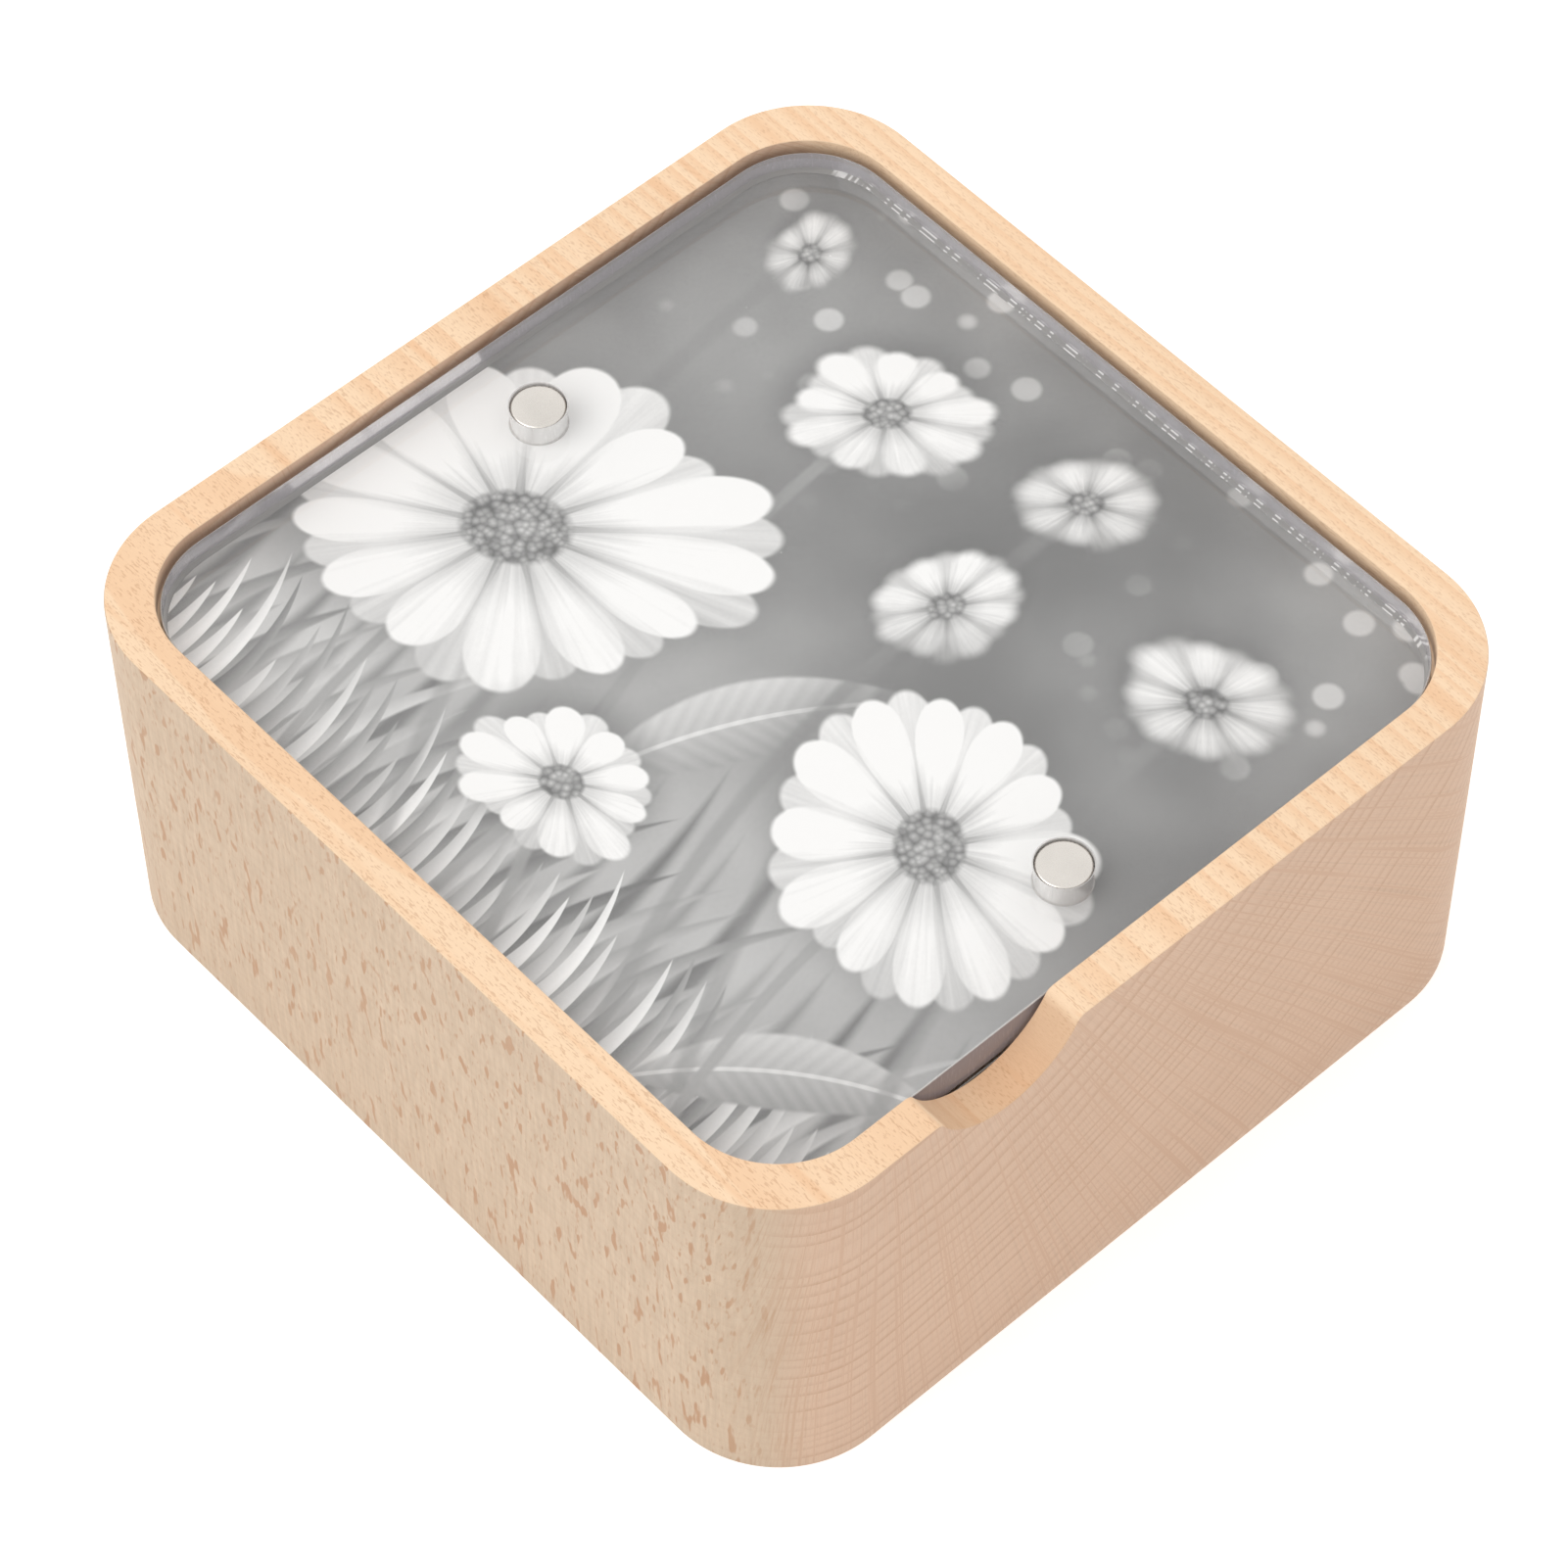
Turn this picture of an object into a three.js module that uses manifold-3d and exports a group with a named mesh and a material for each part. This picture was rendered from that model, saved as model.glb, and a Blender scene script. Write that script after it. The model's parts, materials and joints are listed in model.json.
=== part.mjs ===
import * as THREE from 'three';
import { mergeVertices } from 'three/addons/utils/BufferGeometryUtils.js';
import Module from 'manifold-3d';

const wasm = await Module();
wasm.setup();

// Millimetres. X runs across the picture, Y up it, Z out of its face; the case lies on its back at Z 0.

// Case, milled from one block
const caseWidth = 110;
const caseHeight = 107;
const caseCorner = 14;
const caseEdge = 0.4;
const rimWall = 4.6;
const pocketCorner = 11;
const plateSink = 1.5;
const webThickness = 3.7;
const ledgeWidth = 6;
const cavityCorner = 16;
const backWall = 5;
const backCorner = 9;
const keyRecess = 9;

// Finger notch in the right-hand wall
const notchRadius = 10;
const notchDepth = 6;
const notchEdge = 1.2;
const notchFromBottom = 32;

// Plates, print and magnets
const plateThickness = 5;
const plateGap = 0.4;
const plateEdge = 0.3;
const printThickness = 0.3;
const printInset = 0.5;
const magnetRadius = 3;
const magnetSink = 0.2;
const magnetGap = 0.2;
const magnetFromEdge = 10;

// Back panel and its screws
const panelThickness = 3;
const panelGap = 0.4;
const panelScrewInset = 5.5;
const panelScrewBite = 8;
const keyHole = 4.5;

// Screws
const screwHead = 2.4;
const screwHeadHeight = 1.2;
const screwShank = 1.2;
const smallHead = 1.8;
const smallHeadHeight = 1;
const smallShank = 0.9;
const screwGap = 0.3;
const slotWidth = 0.6;
const slotDepth = 0.5;

// Movement: fits
const runGap = 0.3;
const fitGap = 0.15;
const sideGap = 0.5;

// Movement: bedplate and brackets
const bedThickness = 2;
const bedMargin = 2;
const bedCorner = 3;
const movementScrewInset = 4;
const cavityGap = 1.55;
const bracketThickness = 1.4;
const bracketHalfWidth = 4;
const bracketFoot = 8;
const footThickness = 1.2;
const footRim = 0.6;
const bearingRim = 2.4;

// Movement: key, arbor and clutch
const keySpan = 24;
const keyWing = 1.8;
const keyHub = 3.4;
const keyFoot = 1;
const keyGap = 0.6;
const arborRadius = 1.5;
const arborPivot = 1.2;
const springCore = 2.6;
const clutchHub = 2.4;
const clutchHeight = 2.4;
const clutchWire = 0.25;
const clutchTurns = 2;

// Movement: barrel and mainspring
const barrelRadius = 13;
const rimWidth = 1.6;
const coverLedge = 0.8;
const barrelFloor = 1;
const coverThickness = 0.8;
const coverSink = 0.2;
const springWidth = 2.6;
const springThickness = 0.35;
const springTurns = 5;
const crownTeeth = 40;
const crownHeight = 1.2;
const crownInset = 0.05;
const rootSink = 0.3;
const pinionTeeth = 10;

// Movement: cylinder and comb
const cylinderRadius = 6;
const shaftRadius = 0.9;
const trackCount = 18;
const trackPitch = 1.12;
const pinHeight = 0.5;
const pinWidth = 0.4;
const pinCount = 36;
const pinStride = 7;
const combLength = 17;
const combThickness = 1.2;
const combSlot = 0.32;
const longTooth = 9.5;
const shortTooth = 7.5;
const seatDepth = 6.5;
const combScrewBite = 4;

// Movement: governor
const gearModule = 0.5;
const gearWidth = 1.6;
const governorGearTeeth = 24;
const governorPinionTeeth = 8;
const wormWheelTeeth = 20;
const wormWheelWidth = 1.4;
const meshGap = 0.1;
const governorArbor = 0.7;
const wormPitchRadius = 1.5;
const wormCore = 0.85;
const wormOuter = 1.8;
const wormPivot = 0.6;
const flyRadius = 3.4;
const flyHeight = 3.6;
const flyThickness = 0.5;
const flyHub = 1.3;
const governorPlate = 1.2;

// Facets: each arc of a drawn shape takes twice arcSteps
const arcSteps = 6;
const roundSteps = 40;
const smallSteps = 12;
const weld = 1e-4;

function toSolid(geometry) {
  const bare = geometry.index ? geometry.toNonIndexed() : geometry.clone();
  bare.deleteAttribute('normal');
  bare.deleteAttribute('uv');
  const welded = mergeVertices(bare, weld);
  const corners = welded.index.array;
  const triVerts = [];
  for (let i = 0; i < corners.length; i += 3) {
    const [a, b, c] = [corners[i], corners[i + 1], corners[i + 2]];
    if (a !== b && b !== c && c !== a) triVerts.push(a, b, c);
  }
  return new wasm.Manifold(new wasm.Mesh({
    numProp: 3,
    vertProperties: new Float32Array(welded.getAttribute('position').array),
    triVerts: new Uint32Array(triVerts),
  }));
}

function toGeometry(solid) {
  const mesh = solid.getMesh();
  const geometry = new THREE.BufferGeometry();
  geometry.setAttribute('position', new THREE.BufferAttribute(new Float32Array(mesh.vertProperties), 3));
  geometry.setIndex(new THREE.BufferAttribute(new Uint32Array(mesh.triVerts), 1));
  geometry.computeVertexNormals();
  return geometry;
}

function join(first, others) {
  return toGeometry(others.reduce((sum, other) => sum.add(toSolid(other)), toSolid(first)));
}

function cut(first, others) {
  return toGeometry(others.reduce((rest, other) => rest.subtract(toSolid(other)), toSolid(first)));
}

function prism(shape, depth, curveSegments = arcSteps) {
  return new THREE.ExtrudeGeometry(shape, { depth, bevelEnabled: false, curveSegments });
}

function edgedPrism(shape, depth, edge) {
  const geometry = new THREE.ExtrudeGeometry(shape, {
    depth: depth - 2 * edge,
    bevelEnabled: true,
    bevelThickness: edge,
    bevelSize: edge,
    bevelOffset: -edge,
    bevelSegments: 1,
    curveSegments: arcSteps,
  });
  return geometry.translate(0, 0, edge);
}

function rod(radius, length, steps = smallSteps) {
  const upright = new THREE.CylinderGeometry(radius, radius, length, steps).rotateX(Math.PI / 2);
  return upright.translate(0, 0, length / 2);
}

function slab(width, depth, height) {
  return new THREE.BoxGeometry(width, depth, height).translate(0, 0, height / 2);
}

// Solid of revolution about Z from rows of [radius, height], bottom to top
function turned(rows, steps = roundSteps) {
  const points = rows.map(([radius, height]) => new THREE.Vector2(radius, height));
  return new THREE.LatheGeometry(points, steps).rotateX(Math.PI / 2);
}

// Lays what was drawn in X and Y, and raised along Z, into Y and Z, raised along X
function sideways(geometry) {
  const turn = new THREE.Matrix4().makeBasis(
    new THREE.Vector3(0, 1, 0),
    new THREE.Vector3(0, 0, 1),
    new THREE.Vector3(1, 0, 0),
  );
  return geometry.applyMatrix4(turn);
}

function roundedRect(width, height, radius) {
  const x = width / 2 - radius;
  const y = height / 2 - radius;
  const shape = new THREE.Shape();
  shape.absarc(x, y, radius, 0, Math.PI / 2);
  shape.absarc(-x, y, radius, Math.PI / 2, Math.PI);
  shape.absarc(-x, -y, radius, Math.PI, 1.5 * Math.PI);
  shape.absarc(x, -y, radius, 1.5 * Math.PI, 2 * Math.PI);
  shape.closePath();
  return shape;
}

function punch(shape, x, y, radius) {
  const hole = new THREE.Path();
  hole.absarc(x, y, radius, 0, 2 * Math.PI, true);
  shape.holes.push(hole);
  return shape;
}

function polygon(points) {
  return new THREE.Shape(points.map(([x, y]) => new THREE.Vector2(x, y)));
}

// Toothed disc whose first tooth points along +X, then turned by phase
function gearShape({ teeth, tip, root, tipWidth, rootWidth, phase = 0, bore = 0 }) {
  const points = [];
  for (let i = 0; i < teeth; i += 1) {
    const middle = phase + (2 * Math.PI * i) / teeth;
    const corners = [[root, -rootWidth], [tip, -tipWidth], [tip, tipWidth], [root, rootWidth]];
    for (const [radius, width] of corners) {
      const angle = middle + width / 2 / radius;
      points.push([radius * Math.cos(angle), radius * Math.sin(angle)]);
    }
  }
  const shape = polygon(points);
  return bore ? punch(shape, 0, 0, bore) : shape;
}

function screw(head, headHeight, shank, length) {
  const body = turned([
    [0, -length], [shank, -length], [shank, 0], [head, 0], [head, headHeight / 2],
    [head * 0.8, headHeight], [0, headHeight],
  ], smallSteps);
  return cut(body, [slab(3 * head, slotWidth, headHeight).translate(0, 0, headHeight - slotDepth)]);
}

const bigScrew = (length) => screw(screwHead, screwHeadHeight, screwShank, length);
const smallScrew = (length) => screw(smallHead, smallHeadHeight, smallShank, length);

function finish(color, roughness, metalness) {
  return new THREE.MeshStandardMaterial({ color, roughness, metalness });
}

const beech = () => finish(0xe6c8a4, 0.6, 0);
const acrylic = () => finish(0xf1f3f2, 0.06, 0);
const nickel = () => finish(0xd9d5cc, 0.25, 1);
const brass = () => finish(0xc9a551, 0.3, 1);
const steel = () => finish(0xb4b6b9, 0.3, 1);
const zinc = () => finish(0xa9aaab, 0.5, 1);

const frame = new THREE.Group();
frame.name = 'musical_photo_frame';

function place(name, geometry, material, [x, y, z], group = frame) {
  const mesh = new THREE.Mesh(geometry, material);
  mesh.name = name;
  mesh.position.set(x, y, z);
  group.add(mesh);
  return mesh;
}

// Heights in the movement, from the inner face of the back panel
const hubBottom = bedThickness + runGap;
const barrelBottom = hubBottom + clutchHeight + runGap;
const springBottom = barrelBottom + barrelFloor + runGap;
const coverBottom = springBottom + springWidth + runGap;
const coverTop = coverBottom + coverThickness;
const barrelTop = coverTop + coverSink;
const crownRadius = barrelRadius - rimWidth / 2;
const pinionRadius = (crownRadius * pinionTeeth) / crownTeeth;
const shaftZ = barrelTop + crownHeight / 2 + pinionRadius;
const gearAddendum = 0.8 * gearModule;
const governorGearRadius = (gearModule * governorGearTeeth) / 2;
const governorPinionRadius = (gearModule * governorPinionTeeth) / 2;
const wormWheelRadius = (gearModule * wormWheelTeeth) / 2;
const governorArm = shaftZ + wormWheelRadius + gearAddendum + sideGap;
const cylinderTop = shaftZ + cylinderRadius + pinHeight;
const governorTop = Math.max(governorArm + governorPlate, shaftZ + governorGearRadius + gearAddendum);
const movementHeight = Math.max(cylinderTop, governorTop);

// Stations along the movement from the arbor's axis
const pinionStart = barrelRadius - rimWidth - runGap;
const pinionWidth = rimWidth + 2 * runGap;
const leftBracket = pinionStart + pinionWidth + sideGap;
const cylinderStart = leftBracket + bracketThickness + sideGap;
const cylinderLength = trackCount * trackPitch;
const rightBracket = cylinderStart + cylinderLength + sideGap;
const governorGearStart = rightBracket + bracketThickness + sideGap;
const wormWheelStart = governorGearStart + gearWidth + 2 * sideGap;
const wormX = wormWheelStart + wormWheelWidth / 2;
const governorFrameStart = wormX + Math.max(wormWheelWidth / 2 + sideGap, flyRadius - bearingRim / 2);
const governorFrameEnd = governorFrameStart + governorPlate;
const governorY = -(governorGearRadius + governorPinionRadius + meshGap);
const wormY = governorY - wormWheelRadius - wormPitchRadius;
const combTip = -(cylinderRadius + pinHeight + runGap);
const combBack = combTip - combLength;

// Bedplate outline, and the arbor's place when the movement is centred in the case
const bedLeft = -(barrelRadius + bedMargin);
const bedRight = governorFrameEnd + bedMargin;
const bedLow = Math.min(combBack, wormY - flyRadius) - bedMargin;
const bedHigh = barrelRadius + bedMargin;
const bedX = (bedLeft + bedRight) / 2;
const bedY = (bedLow + bedHigh) / 2;
const arborX = -bedX;
const arborY = -bedY;

// Heights in the case
const panelTop = keyRecess + panelThickness;
const cavityTop = panelTop + movementHeight + cavityGap;
const pocketFloor = cavityTop + webThickness;
const printBottom = pocketFloor + plateThickness;
const frontBottom = printBottom + printThickness;
const caseDepth = frontBottom + plateThickness + plateSink;

const pocketWidth = caseWidth - 2 * rimWall;
const pocketHeight = caseHeight - 2 * rimWall;
const backWidth = caseWidth - 2 * backWall;
const backHeight = caseHeight - 2 * backWall;
const cavityWidth = backWidth - 2 * ledgeWidth;
const cavityHeight = backHeight - 2 * ledgeWidth;

// Four places, one near each corner of a rectangle
function corners(width, height, inset) {
  const places = [];
  for (const x of [-1, 1]) {
    for (const y of [-1, 1]) places.push([x * (width / 2 - inset), y * (height / 2 - inset)]);
  }
  return places;
}

const panelScrewPlaces = corners(backWidth, backHeight, panelScrewInset);

// Scoop with rounded shoulders, drawn across the notch with the rim at height 0
function notchShape() {
  const rise = notchRadius - notchDepth;
  const reach = Math.sqrt((notchRadius + notchEdge) ** 2 - (rise + notchEdge) ** 2);
  const lean = Math.atan2(rise + notchEdge, reach);
  const shape = new THREE.Shape();
  shape.moveTo(-reach, notchEdge);
  shape.lineTo(-reach, 0);
  shape.absarc(-reach, -notchEdge, notchEdge, Math.PI / 2, lean, true);
  shape.absarc(0, rise, notchRadius, Math.PI + lean, 2 * Math.PI - lean, false);
  shape.absarc(reach, -notchEdge, notchEdge, Math.PI - lean, Math.PI / 2, true);
  shape.lineTo(reach, notchEdge);
  return shape;
}

function woodBody() {
  const block = edgedPrism(roundedRect(caseWidth, caseHeight, caseCorner), caseDepth, caseEdge);
  const pocket = prism(roundedRect(pocketWidth, pocketHeight, pocketCorner), caseDepth);
  const cavity = prism(roundedRect(cavityWidth, cavityHeight, cavityCorner), cavityTop);
  const back = prism(roundedRect(backWidth, backHeight, backCorner), 2 * panelTop);
  const notch = sideways(prism(notchShape(), 2 * rimWall));
  const tools = [
    pocket.translate(0, 0, pocketFloor),
    cavity,
    back.translate(0, 0, -panelTop),
    notch.translate(caseWidth / 2 - 1.5 * rimWall, notchFromBottom - caseHeight / 2, caseDepth),
  ];
  for (const [x, y] of panelScrewPlaces) {
    tools.push(rod(screwShank + screwGap, panelScrewBite + screwGap).translate(x, y, panelTop));
  }
  return cut(block, tools);
}

place('wood_body', woodBody(), beech(), [0, 0, 0]);

// Plates with the print between them
const plateWidth = pocketWidth - 2 * plateGap;
const plateHeight = pocketHeight - 2 * plateGap;
const plateCorner = pocketCorner - plateGap;
const magnetX = plateWidth / 2 - magnetFromEdge;
const magnetHeight = plateThickness - magnetSink;

function plate() {
  const outline = roundedRect(plateWidth, plateHeight, plateCorner);
  const radius = magnetRadius + magnetGap;
  const holes = [-magnetX, magnetX].map((x) => {
    const hole = rod(radius, 2 * plateThickness, 2 * smallSteps);
    return hole.translate(x, 0, -plateThickness / 2);
  });
  return cut(edgedPrism(outline, plateThickness, plateEdge), holes);
}

function magnet() {
  const edge = plateEdge;
  return turned([
    [0, 0], [magnetRadius - edge, 0], [magnetRadius, edge], [magnetRadius, magnetHeight - edge],
    [magnetRadius - edge, magnetHeight], [0, magnetHeight],
  ], 2 * smallSteps);
}

const printShape = roundedRect(
  plateWidth - 2 * printInset,
  plateHeight - 2 * printInset,
  plateCorner - printInset,
);
place('rear_plate', plate(), acrylic(), [0, 0, pocketFloor]);
place('photo_print', prism(printShape, printThickness), finish(0xc9c8c5, 0.7, 0), [0, 0, printBottom]);
place('front_plate', plate(), acrylic(), [0, 0, frontBottom]);
place('rear_magnet_left', magnet(), nickel(), [-magnetX, 0, printBottom - magnetHeight]);
place('rear_magnet_right', magnet(), nickel(), [magnetX, 0, printBottom - magnetHeight]);
place('front_magnet_left', magnet(), nickel(), [-magnetX, 0, frontBottom]);
place('front_magnet_right', magnet(), nickel(), [magnetX, 0, frontBottom]);

// Movement screws hold the bedplate to the panel from outside
const movementScrewPlaces = [
  [bedLeft + movementScrewInset, bedLow + movementScrewInset],
  [bedRight - movementScrewInset, bedLow + movementScrewInset],
  [bedRight - movementScrewInset, bedHigh - movementScrewInset],
];

function backPanel() {
  const shape = roundedRect(backWidth - 2 * panelGap, backHeight - 2 * panelGap, backCorner - panelGap);
  punch(shape, arborX, arborY, keyHole);
  for (const [x, y] of panelScrewPlaces) punch(shape, x, y, screwShank + screwGap);
  for (const [x, y] of movementScrewPlaces) punch(shape, arborX + x, arborY + y, screwShank + screwGap);
  return prism(shape, panelThickness);
}

place('back_panel', backPanel(), finish(0xdcbb92, 0.65, 0), [0, 0, keyRecess]);
panelScrewPlaces.forEach(([x, y], i) => {
  const geometry = bigScrew(panelThickness + panelScrewBite).rotateX(Math.PI);
  place(`panel_screw_${i + 1}`, geometry, brass(), [x, y, keyRecess]);
});

const movement = new THREE.Group();
movement.name = 'movement';
movement.position.set(arborX, arborY, panelTop);
frame.add(movement);

movementScrewPlaces.forEach(([x, y], i) => {
  const geometry = bigScrew(panelThickness + bedThickness).rotateX(Math.PI);
  place(`movement_screw_${i + 1}`, geometry, steel(), [x, y, -panelThickness], movement);
});

// Key and winding arbor
const keyBottom = keyFoot - panelTop;
const keyTop = keyRecess - keyGap - panelTop;
const keyHeight = keyTop - keyBottom;
const arborBottom = keyBottom + keyHeight / 3;

function windingKey() {
  const wingHeight = 0.8 * keyHeight;
  const outline = roundedRect(keySpan, wingHeight, wingHeight / 2.2);
  const wing = prism(outline, keyWing).translate(0, wingHeight / 2, -keyWing / 2).rotateX(Math.PI / 2);
  const hub = rod(keyHub, keyHeight, 2 * smallSteps);
  const bore = rod(arborRadius + fitGap, keyHeight).translate(0, 0, arborBottom - keyBottom - fitGap);
  return cut(join(wing, [hub]), [bore]);
}

function windingArbor() {
  const hubTop = hubBottom + clutchHeight;
  const springTop = springBottom + springWidth;
  return turned([
    [0, arborBottom], [arborRadius, arborBottom], [arborRadius, hubBottom], [clutchHub, hubBottom],
    [clutchHub, hubTop], [arborRadius, hubTop], [arborRadius, springBottom], [springCore, springBottom],
    [springCore, springTop], [arborPivot, springTop], [arborPivot, barrelTop], [0, barrelTop],
  ], 2 * smallSteps);
}

// Bar wound about Z: its section has X outwards and Y along the axis
function wound(section, pitch, turns, steps) {
  const bar = new THREE.ExtrudeGeometry(section, {
    depth: turns,
    steps: Math.round(steps * turns),
    bevelEnabled: false,
    curveSegments: 3,
  });
  const places = bar.getAttribute('position');
  for (let i = 0; i < places.count; i += 1) {
    const [radius, drop, turn] = [places.getX(i), places.getY(i), places.getZ(i)];
    const angle = 2 * Math.PI * turn;
    places.setXYZ(i, radius * Math.cos(angle), radius * Math.sin(angle), pitch * turn - drop);
  }
  return bar;
}

const clutchPitch = (clutchHeight - 2 * clutchWire) / clutchTurns;
const clutchSection = new THREE.Shape();
clutchSection.absarc(clutchHub + runGap + clutchWire, 0, clutchWire, 0, 2 * Math.PI);
const clutchSpring = toGeometry(toSolid(wound(clutchSection, clutchPitch, clutchTurns, 1.5 * smallSteps)));
place('winding_key', windingKey(), brass(), [0, 0, keyBottom], movement);
place('winding_arbor', windingArbor(), steel(), [0, 0, 0], movement);
place('clutch_spring', clutchSpring, steel(), [0, 0, hubBottom + clutchWire], movement);

// Spring barrel with crown teeth standing on its rim
const barrelInner = barrelRadius - rimWidth - coverLedge;
const crownPitch = (2 * Math.PI * crownRadius) / crownTeeth;

function springBarrel() {
  const hole = arborRadius + runGap;
  const mouth = barrelRadius - rimWidth;
  const cup = turned([
    [hole, barrelBottom], [barrelRadius, barrelBottom], [barrelRadius, barrelTop], [mouth, barrelTop],
    [mouth, coverBottom], [barrelInner, coverBottom], [barrelInner, barrelBottom + barrelFloor],
    [hole, barrelBottom + barrelFloor], [hole, barrelBottom],
  ]);
  const low = 0.17 * crownPitch;
  const high = 0.08 * crownPitch;
  const tooth = polygon([
    [-low, -rootSink], [low, -rootSink], [low, 0], [high, crownHeight], [-high, crownHeight], [-low, 0],
  ]);
  const toothLength = rimWidth - 2 * crownInset;
  const teeth = [];
  for (let i = 0; i < crownTeeth; i += 1) {
    const geometry = sideways(prism(tooth, toothLength)).translate(mouth + crownInset, 0, barrelTop);
    teeth.push(geometry.rotateZ((2 * Math.PI * (i + 0.5)) / crownTeeth));
  }
  return join(cup, teeth);
}

function mainspring() {
  const first = springCore + runGap + springThickness / 2;
  const last = barrelInner - runGap - springThickness / 2;
  const steps = springTurns * 1.5 * smallSteps;
  const outer = [];
  const inner = [];
  for (let i = 0; i <= steps; i += 1) {
    const angle = (2 * Math.PI * springTurns * i) / steps;
    const radius = first + ((last - first) * i) / steps;
    for (const [side, list] of [[1, outer], [-1, inner]]) {
      const reach = radius + (side * springThickness) / 2;
      list.push([reach * Math.cos(angle), reach * Math.sin(angle)]);
    }
  }
  return prism(polygon(outer.concat(inner.reverse())), springWidth);
}

const coverShape = new THREE.Shape();
coverShape.absarc(0, 0, barrelRadius - rimWidth - runGap, 0, 2 * Math.PI);
punch(coverShape, 0, 0, arborPivot + runGap);
place('spring_barrel', springBarrel(), brass(), [0, 0, 0], movement);
place('mainspring', mainspring(), steel(), [0, 0, springBottom], movement);
const barrelCover = prism(coverShape, coverThickness, roundSteps / 2);
place('barrel_cover', barrelCover, brass(), [0, 0, coverBottom], movement);

// Cylinder with its pins, shaft and gears, turning about a line along X
function pinnedCylinder() {
  const drum = new THREE.Shape();
  drum.absarc(0, 0, cylinderRadius, 0, 2 * Math.PI);
  punch(drum, 0, 0, shaftRadius + fitGap);
  const body = sideways(prism(drum, cylinderLength, roundSteps / 2));
  const pins = [];
  const golden = Math.PI * (3 - Math.sqrt(5));
  for (let i = 0; i < pinCount; i += 1) {
    const track = (i * pinStride) % trackCount;
    const pin = slab(pinWidth, pinWidth, pinHeight + rootSink).translate(0, 0, cylinderRadius - rootSink);
    pins.push(pin.rotateX(i * golden).translate((track + 0.5) * trackPitch, 0, 0));
  }
  return join(body, pins);
}

function drivePinion() {
  const half = crownHeight / 2;
  const shape = gearShape({
    teeth: pinionTeeth,
    tip: pinionRadius + half - runGap / 2,
    root: pinionRadius - half - runGap / 2,
    tipWidth: 0.16 * crownPitch,
    rootWidth: 0.36 * crownPitch,
    phase: -Math.PI / 2,
    bore: shaftRadius + fitGap,
  });
  return sideways(prism(shape, pinionWidth));
}

const spurPitch = Math.PI * gearModule;

function spurGear(teeth, phase, bore) {
  const radius = (gearModule * teeth) / 2;
  return gearShape({
    teeth,
    tip: radius + gearAddendum,
    root: radius - gearModule,
    tipWidth: 0.18 * spurPitch,
    rootWidth: 0.5 * spurPitch,
    phase,
    bore,
  });
}

const shaftStart = pinionStart - sideGap;
const shaftLength = governorGearStart + gearWidth + sideGap - shaftStart;
const shaft = sideways(rod(shaftRadius, shaftLength));
const governorGear = sideways(prism(spurGear(governorGearTeeth, 0, shaftRadius + fitGap), gearWidth));
place('pinned_cylinder', pinnedCylinder(), brass(), [cylinderStart, 0, shaftZ], movement);
place('cylinder_shaft', shaft, steel(), [shaftStart, 0, shaftZ], movement);
place('drive_pinion', drivePinion(), brass(), [pinionStart, 0, shaftZ], movement);
place('governor_gear', governorGear, brass(), [governorGearStart, 0, shaftZ], movement);

// Governor: wheel with its pinion, worm and fly
function governorWheel() {
  const pinion = prism(spurGear(governorPinionTeeth, Math.PI / governorPinionTeeth, 0), gearWidth);
  const wheel = prism(gearShape({
    teeth: wormWheelTeeth,
    tip: wormWheelRadius + gearAddendum,
    root: wormWheelRadius - gearModule,
    tipWidth: 0.16 * spurPitch,
    rootWidth: 0.4 * spurPitch,
    phase: Math.PI,
  }), wormWheelWidth);
  const start = rightBracket + runGap;
  const arbor = rod(governorArbor, governorFrameEnd - runGap - start);
  arbor.translate(0, 0, start - governorGearStart);
  return sideways(join(arbor, [pinion, wheel.translate(0, 0, wormWheelStart - governorGearStart)]));
}

const wormPitch = spurPitch;
const wormTurns = 5;
const wormLength = wormPitch * (wormTurns + 1);
const wormBottom = 0.6 * bedThickness;
const wormTop = governorArm + governorPlate - runGap;
const flyBottom = bedThickness + footThickness + sideGap;

// The thread leaves a gap for the wheel's nearest tooth, at the height of the wheel's axis
function governorWorm() {
  const core = rod(wormCore, wormLength);
  const pivot = rod(wormPivot, wormTop - wormBottom);
  const [foot, tip] = [0.18 * wormPitch, 0.08 * wormPitch];
  const section = polygon([[wormPivot, -foot], [wormOuter, -tip], [wormOuter, tip], [wormPivot, foot]]);
  const thread = wound(section, wormPitch, wormTurns, smallSteps);
  const middle = shaftZ - wormBottom;
  const start = middle - wormPitch * (Math.floor(wormTurns / 2) + 0.75);
  core.translate(0, 0, middle - wormLength / 2);
  return join(pivot, [core, thread.translate(0, 0, start)]);
}

function flyVane() {
  const hub = rod(flyHub, flyHeight);
  const vane = slab(2 * flyRadius, flyThickness, flyHeight);
  return cut(join(hub, [vane]), [rod(wormPivot + fitGap, 3 * flyHeight).translate(0, 0, -flyHeight)]);
}

place('governor_wheel', governorWheel(), brass(), [governorGearStart, governorY, shaftZ], movement);
place('governor_worm', governorWorm(), steel(), [wormX, wormY, wormBottom], movement);
place('fly_vane', flyVane(), zinc(), [wormX, wormY, flyBottom], movement);

// Brackets stand on the bedplate and carry the shaft; the right one also carries the governor wheel
const bracketTop = shaftZ + bearingRim;
const leftScrewX = leftBracket + bracketThickness + bracketFoot / 2;
const rightScrewX = rightBracket - bracketFoot / 2;

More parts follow.
